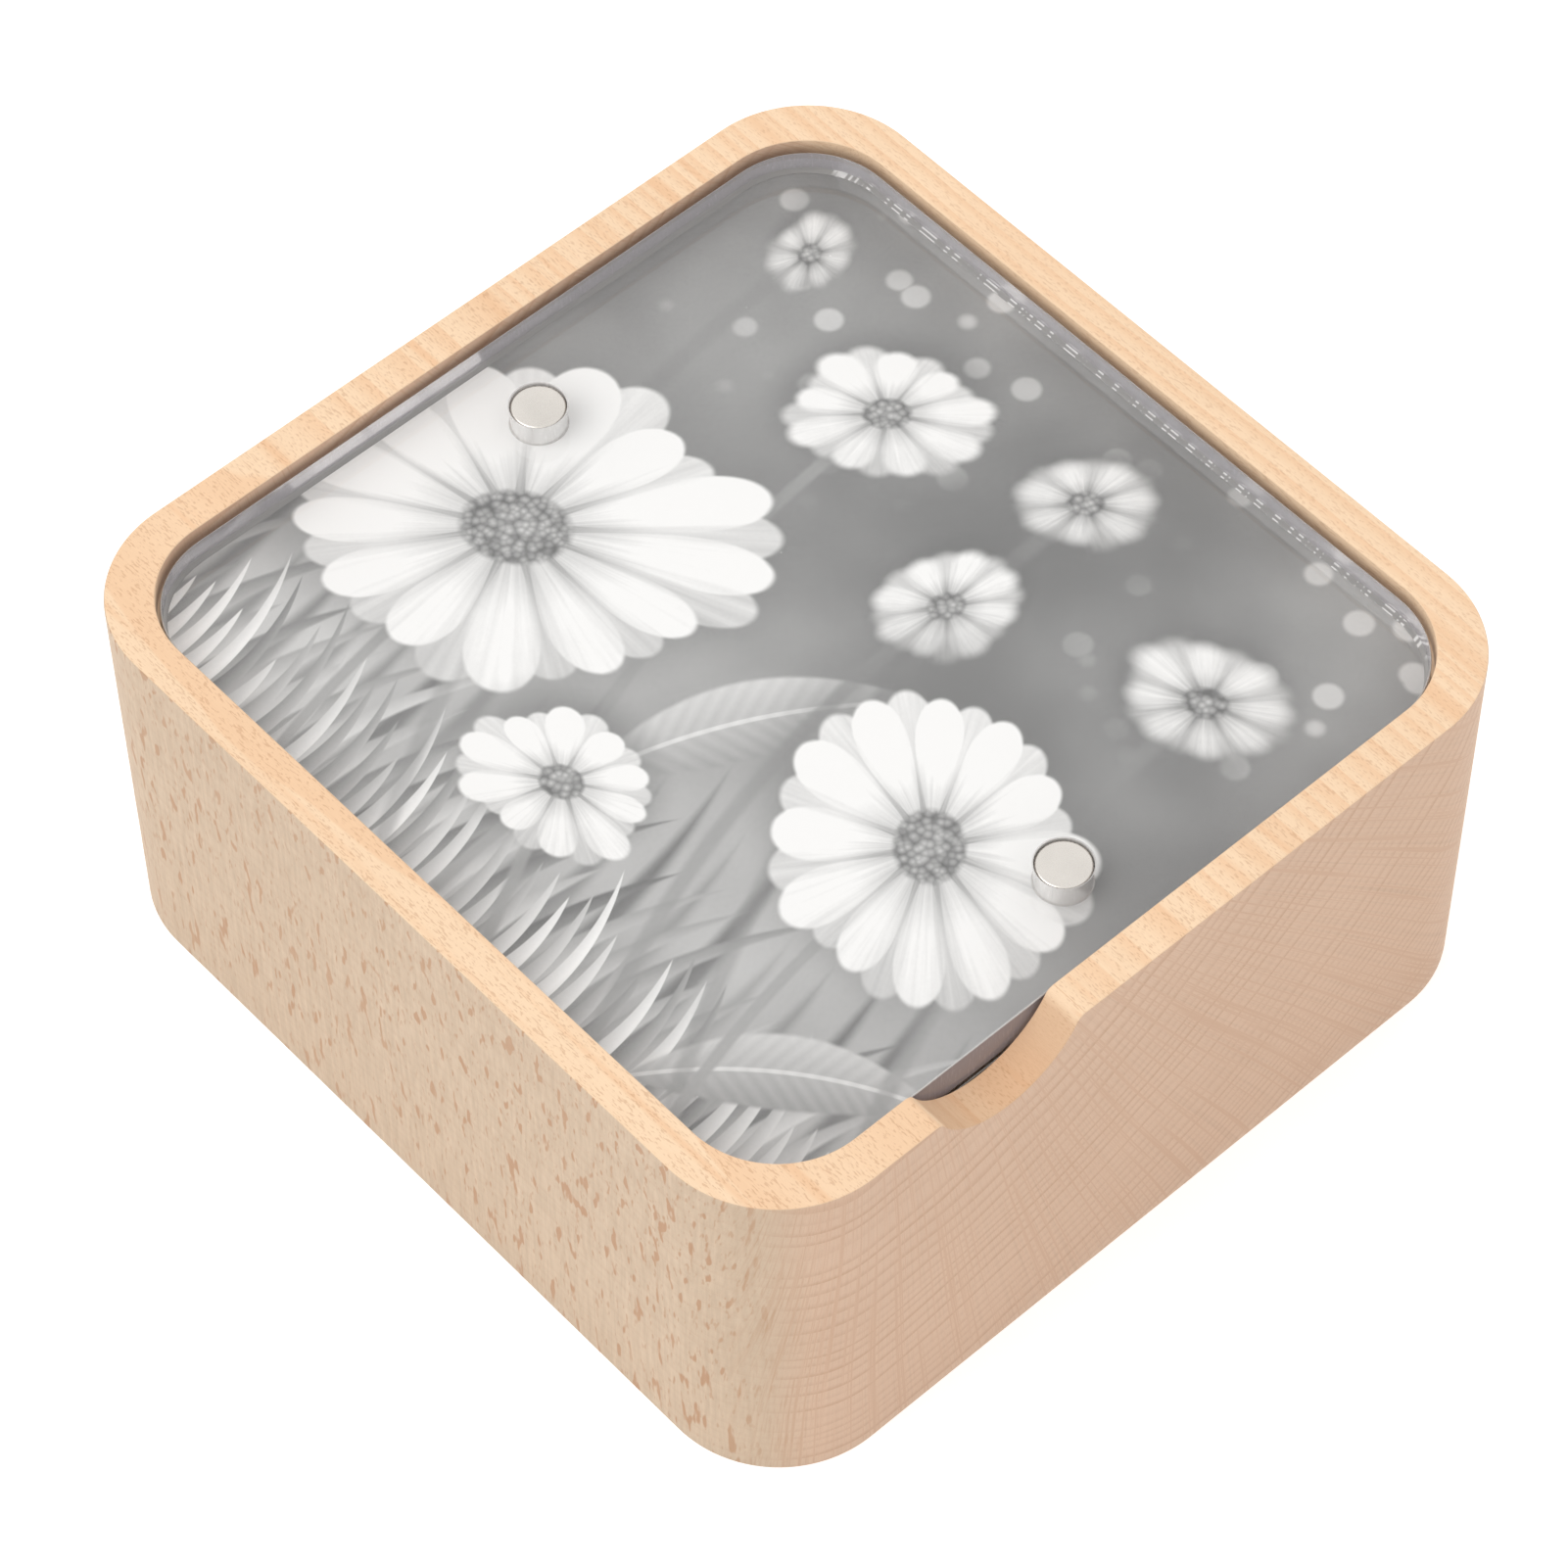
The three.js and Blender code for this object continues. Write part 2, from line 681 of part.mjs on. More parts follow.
function bracket(low, footSide) {
  const height = bracketTop - bedThickness;
  const width = bracketHalfWidth - low;
  const wall = slab(bracketThickness, width, height).translate(bracketThickness / 2, low + width / 2, 0);
  const footLength = bracketFoot + bracketThickness;
  const foot = slab(footLength, 2 * bracketHalfWidth, footThickness);
  const edge = footSide > 0 ? 0 : bracketThickness;
  const screwX = footSide > 0 ? bracketThickness + bracketFoot / 2 : -bracketFoot / 2;
  foot.translate(edge + (footSide * footLength) / 2, 0, 0);
  const bearing = sideways(rod(shaftRadius + runGap, 3 * bracketThickness));
  const tools = [
    bearing.translate(-bracketThickness, 0, shaftZ - bedThickness),
    rod(smallShank + screwGap, 3 * footThickness).translate(screwX, 0, -footThickness),
  ];
  if (low < -bracketHalfWidth) {
    const second = sideways(rod(governorArbor + runGap, 3 * bracketThickness));
    tools.push(second.translate(-bracketThickness, governorY, shaftZ - bedThickness));
  }
  return cut(join(wall, [foot]), tools);
}

const rightLow = governorY - bearingRim;
place('left_bracket', bracket(-bracketHalfWidth, 1), brass(), [leftBracket, 0, bedThickness], movement);
place('right_bracket', bracket(rightLow, -1), brass(), [rightBracket, 0, bedThickness], movement);
const footTop = bedThickness + footThickness;
const smallLength = footThickness + 0.8 * bedThickness;
place('left_bracket_screw', smallScrew(smallLength), steel(), [leftScrewX, 0, footTop], movement);
place('right_bracket_screw', smallScrew(smallLength), steel(), [rightScrewX, 0, footTop], movement);

// Governor frame: foot, upright for the wheel's arbor and arm over the worm
const governorFootWidth = 2 * (smallHead + footRim);
const governorScrewX = governorFrameEnd - governorFootWidth / 2;
const governorScrewY = governorY + bearingRim + governorFootWidth / 2;

function governorFrame() {
  const height = governorArm + governorPlate - bedThickness;
  const upright = slab(governorPlate, 2 * bearingRim, height);
  upright.translate(governorFrameEnd - governorPlate / 2, governorY, 0);
  const footDepth = governorFootWidth + 2 * bearingRim;
  const foot = slab(governorFootWidth, footDepth, footThickness);
  foot.translate(governorScrewX, governorY - bearingRim + footDepth / 2, 0);
  const armWidth = governorFrameEnd - wormX + bearingRim / 2;
  const armDepth = governorY + bearingRim - wormY + bearingRim / 2;
  const arm = slab(armWidth, armDepth, governorPlate);
  const armY = governorY + bearingRim - armDepth / 2;
  arm.translate(governorFrameEnd - armWidth / 2, armY, height - governorPlate);
  const bearing = sideways(rod(governorArbor + runGap, 3 * governorPlate));
  return cut(join(upright, [foot, arm]), [
    bearing.translate(governorFrameStart - governorPlate, governorY, shaftZ - bedThickness),
    rod(wormPivot + runGap, 3 * governorPlate).translate(wormX, wormY, height - 2 * governorPlate),
    rod(smallShank + screwGap, 3 * footThickness).translate(governorScrewX, governorScrewY, -footThickness),
  ]);
}

place('governor_frame', governorFrame(), brass(), [0, 0, bedThickness], movement);
const governorScrewPlace = [governorScrewX, governorScrewY, footTop];
place('governor_screw', smallScrew(smallLength), steel(), governorScrewPlace, movement);

// Comb: teeth grow longer from the treble end to the bass end
const combBottom = shaftZ - combThickness / 2;
const combScrewY = combBack + seatDepth / 2;
const combScrewPlaces = [0.2, 0.8].map((share) => cylinderStart + share * cylinderLength);

function comb() {
  const points = [[0, combBack], [cylinderLength, combBack], [cylinderLength, combTip]];
  for (let i = trackCount - 1; i > 0; i -= 1) {
    const root = combTip - longTooth + ((longTooth - shortTooth) * i) / trackCount;
    const [right, left] = [i * trackPitch + combSlot / 2, i * trackPitch - combSlot / 2];
    points.push([right, combTip], [right, root], [left, root], [left, combTip]);
  }
  points.push([0, combTip]);
  const shape = polygon(points);
  for (const x of combScrewPlaces) punch(shape, x - cylinderStart, combScrewY, screwShank + screwGap);
  return prism(shape, combThickness);
}

place('comb', comb(), steel(), [cylinderStart, 0, combBottom], movement);
combScrewPlaces.forEach((x, i) => {
  const geometry = bigScrew(combThickness + combScrewBite);
  place(`comb_screw_${i + 1}`, geometry, steel(), [x, combScrewY, combBottom + combThickness], movement);
});

// Bedplate with the comb's seat cast on it
function bedplate() {
  const shape = roundedRect(bedRight - bedLeft, bedHigh - bedLow, bedCorner);
  punch(shape, -bedX, -bedY, arborRadius + runGap);
  for (const [x, y] of movementScrewPlaces) punch(shape, x - bedX, y - bedY, screwShank + screwGap);
  for (const x of [leftScrewX, rightScrewX]) punch(shape, x - bedX, -bedY, smallShank + screwGap);
  punch(shape, governorScrewX - bedX, governorScrewY - bedY, smallShank + screwGap);
  const base = prism(shape, bedThickness).translate(bedX, bedY, 0);
  const seat = slab(cylinderLength, seatDepth, combBottom);
  seat.translate(cylinderStart + cylinderLength / 2, combBack + seatDepth / 2, 0);
  const biteDepth = combScrewBite + screwGap;
  const tools = combScrewPlaces.map((x) => rod(screwShank + screwGap, 2 * biteDepth)
    .translate(x, combScrewY, combBottom - biteDepth));
  tools.push(rod(wormPivot + runGap, bedThickness).translate(wormX, wormY, wormBottom - runGap));
  return cut(join(base, [seat]), tools);
}

place('bedplate', bedplate(), zinc(), [0, 0, 0], movement);

export default frame;
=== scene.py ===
import json
import math

import bmesh
import bpy
from mathutils import Matrix, Vector

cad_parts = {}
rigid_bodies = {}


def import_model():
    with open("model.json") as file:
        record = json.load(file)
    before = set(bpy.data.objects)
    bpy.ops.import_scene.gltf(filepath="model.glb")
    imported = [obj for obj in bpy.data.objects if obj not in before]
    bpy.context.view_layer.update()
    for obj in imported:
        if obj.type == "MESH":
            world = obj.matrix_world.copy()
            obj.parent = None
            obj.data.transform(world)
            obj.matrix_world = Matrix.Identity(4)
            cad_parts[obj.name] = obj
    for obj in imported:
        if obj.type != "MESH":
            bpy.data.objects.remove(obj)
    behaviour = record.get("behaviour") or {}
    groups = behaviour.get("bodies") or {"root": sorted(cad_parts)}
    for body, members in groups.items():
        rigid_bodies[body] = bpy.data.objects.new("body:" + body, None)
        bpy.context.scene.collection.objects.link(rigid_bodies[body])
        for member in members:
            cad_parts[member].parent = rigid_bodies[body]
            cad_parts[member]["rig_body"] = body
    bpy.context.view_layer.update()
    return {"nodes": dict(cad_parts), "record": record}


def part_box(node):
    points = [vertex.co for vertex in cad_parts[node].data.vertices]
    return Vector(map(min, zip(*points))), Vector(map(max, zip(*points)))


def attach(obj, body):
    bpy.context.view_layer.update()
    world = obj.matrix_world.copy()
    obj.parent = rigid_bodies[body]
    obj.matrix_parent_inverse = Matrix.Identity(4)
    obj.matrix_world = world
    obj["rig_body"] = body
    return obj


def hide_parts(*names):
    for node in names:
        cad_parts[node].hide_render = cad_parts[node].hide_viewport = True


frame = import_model()
nodes = frame["nodes"]
mm = 0.001
print("frame loaded", len(nodes))


# Shader maths: a Field is one output socket, and sums on it add nodes
class Field:
    def __init__(self, shade, socket):
        self.shade = shade
        self.socket = socket

    def math(self, operation, *others):
        return self.shade.node("ShaderNodeMath", [self, *others], operation=operation)

    def __add__(self, other):
        return self.math("ADD", other)

    def __mul__(self, other):
        return self.math("MULTIPLY", other)

    def __sub__(self, other):
        return self.math("SUBTRACT", other)

    def __truediv__(self, other):
        return self.math("DIVIDE", other)

    def __pow__(self, other):
        return self.math("POWER", other)

    def __rsub__(self, other):
        return self.math("MULTIPLY_ADD", -1.0, other)

    def __rtruediv__(self, other):
        return self.math("POWER", -1.0) * other

    __radd__ = __add__
    __rmul__ = __mul__

    def __neg__(self):
        return self * -1.0

    def ramp(self, low, high, first=0.0, last=1.0):
        return self.shade.node(
            "ShaderNodeMapRange", [self, low, high, first, last], interpolation_type="SMOOTHSTEP"
        )


class Shade:
    def __init__(self, name, world=None):
        self.material = world or bpy.data.materials.new(name)
        self.material.use_nodes = True
        self.tree = self.material.node_tree
        self.tree.nodes.clear()

    def feed(self, socket, value):
        if isinstance(value, Field):
            self.tree.links.new(value.socket, socket)
        else:
            socket.default_value = value

    def node(self, kind, inputs=(), output=0, **settings):
        made = self.tree.nodes.new(kind)
        for key, value in settings.items():
            setattr(made, key, value)
        pairs = inputs.items() if isinstance(inputs, dict) else enumerate(inputs)
        for key, value in pairs:
            self.feed(made.inputs[key], value)
        return Field(self, made.outputs[output]) if made.outputs else None

    def place(self):
        coords = self.node("ShaderNodeTexCoord", output="Object")
        split = self.node("ShaderNodeSeparateXYZ", [coords])
        return [Field(self, out) * (1 / mm) for out in split.socket.node.outputs]

    def facing(self):
        coords = self.node("ShaderNodeNewGeometry", output="Normal")
        split = self.node("ShaderNodeSeparateXYZ", [coords])
        return [Field(self, out) for out in split.socket.node.outputs]

    def rays(self, first, *kinds):
        path = self.node("ShaderNodeLightPath").socket.node.outputs
        share = Field(self, path[f"Is {first} Ray"])
        for kind in kinds:
            share = share.math("MAXIMUM", Field(self, path[f"Is {kind} Ray"]))
        return share

    def vector(self, x, y, z):
        return self.node("ShaderNodeCombineXYZ", [x, y, z])

    def noise(self, vector, scale=1.0, detail=2.0, roughness=0.5):
        return self.node(
            "ShaderNodeTexNoise",
            {"Vector": vector, "Scale": scale, "Detail": detail, "Roughness": roughness},
        )

    def mix(self, share, first, last, blend="MIX"):
        return self.node(
            "ShaderNodeMix", {0: share, 6: first, 7: last}, 2, data_type="RGBA", blend_type=blend
        )

    def between(self, share, first, last):
        return self.node("ShaderNodeMix", {0: share, 2: first, 3: last})

    def random(self, value):
        return self.node("ShaderNodeTexWhiteNoise", {"W": value}, noise_dimensions="1D")

    def bump(self, height, strength, distance=0.1 * mm):
        return self.node(
            "ShaderNodeBump", {"Height": height, "Strength": strength, "Distance": distance}, "Normal"
        )

    def finish(self, **sockets):
        shader = self.node("ShaderNodeBsdfPrincipled", {k.replace("_", " "): v for k, v in sockets.items()})
        self.node("ShaderNodeOutputMaterial", {"Surface": shader})
        return self.material


def rgb(red, green, blue):
    def linear(level):
        level /= 255
        return level / 12.92 if level <= 0.04045 else ((level + 0.055) / 1.055) ** 2.4

    return (linear(red), linear(green), linear(blue), 1.0)


# Beech as one solid: growth rings about a pith line along X, and rays that run out from it
def beech(name, pith, top, side, end, ringTint, streakTint, fleckTint, seam, scoop):
    s = Shade(name)
    x, y, z = s.place()
    nx, ny, nz = s.facing()
    sway = s.noise(s.vector(x * 0.006, y * 0.012, z * 0.02), detail=1.0) - 0.5
    dy = y - pith[0] + sway * 3.0
    dz = pith[1] - z
    radius = (dy * dy + dz * dz) ** 0.5
    around = dy.math("ARCTAN2", dz) * 80.0
    out = radius - 60.0
    uneven = s.noise(s.vector(radius * 0.13, x * 0.003, around * 0.012), detail=1.0) * 1.6
    uneven = uneven + s.noise(s.vector(x * 0.02, y * 0.06, z * 0.06), detail=3.0, roughness=0.35) * 0.8
    count = out * (out * 0.0027 + 0.4) + uneven * 1.5
    ring = count.math("FRACT")
    weight = s.random(count.math("FLOOR"))
    late = ring.ramp(0.3, 0.95) * ring.ramp(0.97, 1.0, 1.0, 0.0)
    line = ring.ramp(0.5, 0.94) * ring.ramp(0.96, 1.0, 1.0, 0.0) * weight
    silk = s.noise(s.vector(x * 2.0, radius * 0.12, around * 0.8), detail=3.0, roughness=0.65)
    broad = s.noise(s.vector(x * 1.0, radius * 0.18, around * 1.2 + 31.0), detail=1.5)
    small = s.noise(s.vector(x * 2.1, radius * 0.4, around * 2.4 + 11.0), detail=1.0)
    isEnd = (nx * nx).ramp(0.35, 0.9)
    isTop = (nz * nz).ramp(0.35, 0.9)
    isFar = (ny * ny).ramp(0.2, 0.8) * y.ramp(47.0, 51.0)
    across = s.between(isTop, around * 7.0, y * 6.5)
    dashes = s.noise(s.vector(x * (1.5 - isFar * 1.1), radius * 0.2, across), detail=1.0)
    rays = s.noise(s.vector(around * 3.5, radius * 0.02, x * 0.3), detail=1.0, roughness=0.8)
    streak = s.noise(s.vector(x * 0.014, y * 0.5, z * 0.1 + 7.0), detail=1.0)
    fibre = s.noise(s.vector(x * 0.2, y * 4.0, z * 4.0), detail=2.0)
    cloud = s.noise(s.vector(x * 0.02, y * 0.05, z * 0.05), detail=2.0)
    isInner = (nx * x + ny * y).ramp(-45.0, -30.0, 1.0, 0.0)
    isFront = (-ny).ramp(0.05, 0.6) * y.ramp(-43.0, -39.0, 1.0, 0.0)
    isSide = isFront * y.ramp(-53.4, -47.0, 1.0, 0.0)
    # painted light: by face direction the front side is paler and greyer than the top, as light falls on
    # them, and the end is darker for its end grain and for painted shade
    base = s.mix(isEnd, s.mix(isFront, top, side), end)
    tone = (
        1.0 + (cloud - 0.5) * 0.1 + (fibre - 0.5) * 0.08
        + (silk - 0.5) * isSide * 0.4 + (rays - 0.5) * (0.06 + isEnd * 0.2)
    )
    grained = s.mix(1.0, base, s.vector(tone, tone ** 1.15, tone ** 1.3), "MULTIPLY")
    rings = (
        late * (0.05 + isEnd * 0.08 + isTop * 0.2 + isFar * 0.16)
        + line * (0.05 + isEnd * 0.24 + isFar * 0.2)
    )
    rings = rings.math("MAXIMUM", rays.ramp(0.48, 0.68) * (nx * nx).ramp(0.05, 0.6) * 0.32)
    rings = rings.math("MAXIMUM", streak.ramp(0.5, 0.75) * isTop * 0.4)
    ringed = s.mix(rings, grained, s.mix(isTop, ringTint, streakTint))
    spots = (broad.ramp(0.59, 0.67) * 0.68).math("MAXIMUM", small.ramp(0.62, 0.72) * 0.4)
    spots = spots * cloud.ramp(0.3, 0.6, 0.75, 1.0)
    faint = dashes.ramp(0.54, 0.68) * y.ramp(0.0, 50.0, 0.34, 0.24)
    flecks = s.between(isSide, faint, spots) * (1.0 - isEnd * 0.85)
    color = s.mix(flecks, ringed, fleckTint)
    if scoop:  # painted shade: the finger notch's scoop is darker than the rim
        scoopShade = (y - scoop["y"]).math("ABSOLUTE").ramp(scoop["half"] - 1.0, scoop["half"] + 1.0, 1.0, 0.0)
        scoopShade = scoopShade * x.ramp(scoop["x"] - 1.0, scoop["x"]) * z.ramp(scoop["low"], scoop["low"] + 1.0)
        scoopShade = scoopShade * z.ramp(scoop["high"], scoop["high"] + 1.4, 1.0, 0.0) * (1.0 - isEnd)
        color = s.mix(scoopShade * 0.4, color, fleckTint)
    if seam:  # painted shade on the pocket's wall, just above the plate's edge
        paintedPocketShade = isInner * z.ramp(seam, seam + 1.6, 0.6, 0.0) * z.ramp(seam - 1.5, seam - 0.5)
        color = s.mix(paintedPocketShade, color, rgb(96, 66, 50))
    height = fibre * 0.5 + rays * 0.4 - flecks * 0.6
    return s.finish(
        Base_Color=color, Roughness=0.6 - flecks * 0.1, Specular_IOR_Level=0.3, Normal=s.bump(height, 0.2)
    )


# Clear sheet: soft light passes straight in, and all that is seen through it is bent
acrylicIor = 1.49


def acrylic(name):
    s = Shade(name)
    return s.finish(
        Base_Color=(0.998, 0.999, 0.999, 1), Roughness=0.0, IOR=acrylicIor, Transmission_Weight=1.0,
        Alpha=1.0 - s.rays("Shadow", "Diffuse"),
    )


def cutAcrylic(name, clear, dark, pale, rough, marked):
    s = Shade(name)
    x, y, z = s.place()
    marks = s.noise(s.vector(x * 4.0, y * 4.0, z * 0.5), detail=3.0, roughness=0.7)
    return s.finish(
        Base_Color=s.mix(marks.ramp(0.52, 0.7), dark, pale),
        Roughness=marks.ramp(0.35, 0.7, rough * 0.5, rough), IOR=acrylicIor, Transmission_Weight=clear,
        Alpha=1.0 - s.rays("Shadow", "Diffuse") * clear, Normal=s.bump(marks, marked),
    )


# Arris under a sheet: grey, and along the upper side two broken bright lines, painted glints on the sawn edge
def sawnArris(name, line, width, clear, dark, pale, rough):
    s = Shade(name)
    x, y = s.place()[:2]
    dashes = s.noise(s.vector(x * 0.4, 0.0, 3.0), detail=2.0, roughness=0.8).ramp(0.5, 0.53)
    # painted glints: bright dashes in two lines along the upper side
    glintLines = (y - line).math("ABSOLUTE").ramp(width * 0.4, width * 0.6) * y.ramp(line - 2.0, line - 1.0)
    return s.finish(
        Base_Color=s.mix(dashes * glintLines, dark, pale), Roughness=rough, IOR=acrylicIor,
        Transmission_Weight=clear, Alpha=1.0 - s.rays("Shadow", "Diffuse") * clear,
    )


def metal(name, color, roughness, grain, strength):
    s = Shade(name)
    x, y, z = s.place()
    brushed = s.noise(s.vector(x * grain[0], y * grain[1], z * grain[2]), detail=3.0, roughness=0.6)
    cloud = s.noise(s.vector(x * 0.3, y * 0.3, z * 0.3), detail=2.0)
    tone = 0.9 + cloud * 0.2
    return s.finish(
        Base_Color=s.mix(1.0, color, s.vector(tone, tone, tone), "MULTIPLY"), Metallic=1.0,
        Roughness=brushed.ramp(0.3, 0.7, roughness * 0.7, roughness * 1.3), Normal=s.bump(brushed, strength),
    )


# Print: a soft-focus meadow in monochrome, with pale blossoms, spots of light and grass
meadow = {
    "blossoms": [  # x, y, size, petals, turn, lean, softness
        (34, 26, 10, 8, 0.1, 0.4, 0.7),
        (7, 35, 8, 7, 0.5, 0.9, 0.8),
        (-38, 37, 6, 7, 0.2, 2.1, 0.9),
        (7, 15, 9, 8, 0.6, 1.4, 0.55),
        (-16, 28, 12, 9, 0.4, 0.8, 0.3),
        (-31, -11, 29, 13, 0.3, 0.5, 0.08),
        (28, -7, 22, 12, 0.7, 2.4, 0.1),
        (-3, -29, 12, 10, 0.2, 0.2, 0.14),
    ],
    "leaves": [  # x, y, length, width, turn, shade
        (4, -10, 19, 5.0, 1.1, 0.5),
        (38, -36, 16, 4.5, 0.7, 0.45),
    ],
    "grass": [  # pitch, height, bend, dark, light, softness
        (5.5, 46, 0.006, 0.12, 0.42, 0.3),
        (3.6, 32, -0.011, 0.15, 0.7, 0.14),
        (2.3, 19, 0.02, 0.25, 1.0, 0.08),
    ],
    "bottom": -48.0,
}


def meadowPrint(name):
    s = Shade(name)
    x, y = s.place()[:2]

    def over(below, above, mask):
        return below + (above - below) * mask

    haze = s.noise(s.vector(x * 0.02, y * 0.02, 1.7), detail=3.0)
    level = haze.ramp(0.3, 0.75, 0.08, 0.45) + y.ramp(24.0, -40.0, 0.0, 0.3)
    spots = s.node("ShaderNodeTexVoronoi", {"Vector": s.vector(x, y, 4.0), "Scale": 0.15})
    level = over(level, 0.8, spots.ramp(0.2, 0.3, 0.7, 0.0) * y.ramp(8.0, 36.0) * haze.ramp(0.35, 0.55))
    lift = y - meadow["bottom"]
    for pitch, height, bend, dark, light, soft in meadow["grass"]:
        place = (x + lift * lift * bend) / pitch
        blade = place.math("FLOOR") + height
        top = (s.random(blade) * 0.6 + 0.4) * height
        width = (1.0 - lift / top).math("MAXIMUM", 0.0) ** 0.6 * 0.46
        across = place.math("FRACT") - 0.5
        shine = s.random(blade + 0.37) * (light - dark) + dark + across * 0.4 - lift * 0.004
        level = over(level, shine, (width - across.math("ABSOLUTE")).ramp(0.0, soft))
    for lx, ly, length, width, turn, shade in meadow["leaves"]:
        c, k = math.cos(turn), math.sin(turn)
        along = ((x - lx) * c + (y - ly) * k) / length
        across = ((y - ly) * c - (x - lx) * k) / width + along * along * 0.6
        veins = (across.math("ABSOLUTE") * 2.0 - along * 9.0).math("PINGPONG", 0.5)
        shine = shade + across * 0.18 + veins * 0.14 + across.math("ABSOLUTE").ramp(0.03, 0.08, 0.25, 0.0)
        level = over(level, shine, (along * along + across.math("ABSOLUTE")).ramp(0.9, 1.05, 1.0, 0.0))
    for bx, by, size, petals, turn, lean, soft in meadow["blossoms"]:
        drop = by - y
        stem = (x - bx - drop * drop * 0.004).math("ABSOLUTE").ramp(0.4, 0.8 + soft, 1.0, 0.0)
        level = over(level, 0.4 - soft * 0.2, stem * drop.ramp(0.0, 1.0) * (1.0 - soft * 0.6))
        c, k = math.cos(lean), math.sin(lean)
        u = (x - bx) * c + (y - by) * k
        v = ((y - by) * c - (x - bx) * k) * 1.25
        far = (u * u + v * v) ** 0.5 / size
        level = level * (far + (x - bx - y + by) / (size * 7.0)).ramp(0.6, 1.15, 0.45, 1.0)
        turns = v.math("ARCTAN2", u) * (petals / math.tau) + turn
        for shift, shade in ((0.5, 0.8), (0.0, 1.12)):
            place = turns + shift
            petal = place.math("FLOORED_MODULO", petals).math("FLOOR") + bx
            side = place.math("FRACT") - 0.5
            reach = (far / (0.8 + s.random(petal) * 0.2) - 0.55) / 0.45
            crease = s.noise(s.vector(side * 9.0, far * 1.3, petal * 3.0), detail=2.0) - 0.5
            shine = shade - side * side * 1.1 + crease * 0.4 - far.ramp(0.55, 0.15, 0.0, 0.35) - soft * 0.35
            shine = shine + (y - by - x + bx) / (size * 9.0)
            mask = (reach * reach + side * side * 4.4).ramp(1.0 - soft, 1.0 + soft, 1.0, 0.0)
            level = over(level, shine, mask)
        seeds = s.node("ShaderNodeTexVoronoi", {"Vector": s.vector(x, y, 0.0), "Scale": 1.3})
        level = over(level, 0.72 - seeds * 0.6 - far, far.ramp(0.18, 0.22 + soft * 0.1, 1.0, 0.0))
    grain = s.noise(s.vector(x * 3.0, y * 3.0, 0.5), detail=2.0) - 0.5
    dust = s.node("ShaderNodeTexVoronoi", {"Vector": s.vector(x, y, 9.0), "Scale": 0.2})
    level = level + grain * 0.07 + dust.ramp(0.012, 0.022, 0.4, 0.0)
    tone = level.math("MAXIMUM", 0.0).math("MINIMUM", 1.0) ** 1.2 * 0.84 + 0.13
    return s.finish(
        Base_Color=s.vector(tone, tone * 0.99, tone * 0.972), Roughness=0.5, Specular_IOR_Level=0.2
    )


beechLook = {
    "pith": (-41.0, 107.0),
    # the top and front side differ by painted light, and the end is darker for end grain and for painted
    # shade
    "top": rgb(252, 220, 185),
    "side": rgb(216, 192, 166),
    "end": rgb(229, 196, 170),
    "ringTint": rgb(188, 138, 100),
    "streakTint": rgb(234, 172, 118),
    "fleckTint": rgb(186, 132, 90),
    # height of the plate's seam, where painted shade darkens the pocket's wall
    "seam": 48.2,
    "scoop": {"x": 50.0, "y": -21.5, "half": 10.0, "low": 42.0, "high": 48.5},
}
panelLook = {
    "pith": (30.0, -160.0),
    "top": rgb(226, 194, 158),
    "side": rgb(226, 194, 158),
    "end": rgb(205, 172, 140),
    "ringTint": rgb(190, 142, 100),
    "streakTint": rgb(206, 162, 118),
    "fleckTint": rgb(188, 138, 96),
    "seam": None,
    "scoop": None,
}
edgeLook = {
    "clear": 0.55, "dark": (0.56, 0.52, 0.57, 1), "pale": (0.68, 0.63, 0.69, 1),
    "rough": 0.04, "marked": 0.03,
}
boreLook = {
    "clear": 0.35, "dark": (0.7, 0.68, 0.66, 1), "pale": (0.82, 0.8, 0.78, 1),
    "rough": 0.2, "marked": 0.03,
}
arrisLook = {
    "line": 48.25, "width": 0.25,
    "clear": 0.2, "dark": (0.4, 0.39, 0.38, 1), "pale": (1, 0.99, 0.98, 1), "rough": 0.25,
}
nickelLook = {"color": (0.74, 0.7, 0.65, 1), "roughness": 0.3, "grain": (4, 4, 4), "strength": 0.05}
brassLook = {"color": (0.8, 0.62, 0.3, 1), "roughness": 0.28, "grain": (6, 1, 6), "strength": 0.1}
steelLook = {"color": (0.6, 0.6, 0.61, 1), "roughness": 0.26, "grain": (1, 6, 6), "strength": 0.08}
zincLook = {"color": (0.5, 0.5, 0.51, 1), "roughness": 0.45, "grain": (2, 2, 2), "strength": 0.2}
looks = {
    "beech": beech("beech", **beechLook),
    "panel_wood": beech("panelWood", **panelLook),
    "clear_acrylic": acrylic("clearAcrylic"),
    "edge": cutAcrylic("edgeAcrylic", **edgeLook),
    "arris": sawnArris("arrisAcrylic", **arrisLook),
    "bore": cutAcrylic("boreAcrylic", **boreLook),
    "print_paper": meadowPrint("printPaper"),
    "bright_nickel": metal("brightNickel", **nickelLook),
    "brass": metal("brass", **brassLook),
    "steel": metal("steel", **steelLook),
    "die_cast_zinc": metal("dieCastZinc", **zincLook),
}
slotOf = {part["node"]: part["material_slot"] for part in frame["record"]["subparts"]}
for node, piece in nodes.items():
    piece.data.materials.clear()
    piece.data.materials.append(looks[slotOf[node]])
print("materials made", len(looks))


# Mesh tools
sharpAngle = math.radians(40)  # edges past this are softened


def toObject(name, bm):
    bmesh.ops.recalc_face_normals(bm, faces=bm.faces)
    mesh = bpy.data.meshes.new(name)
    bm.to_mesh(mesh)
    bm.free()
    piece = bpy.data.objects.new(name, mesh)
    bpy.context.scene.collection.objects.link(piece)
    return piece


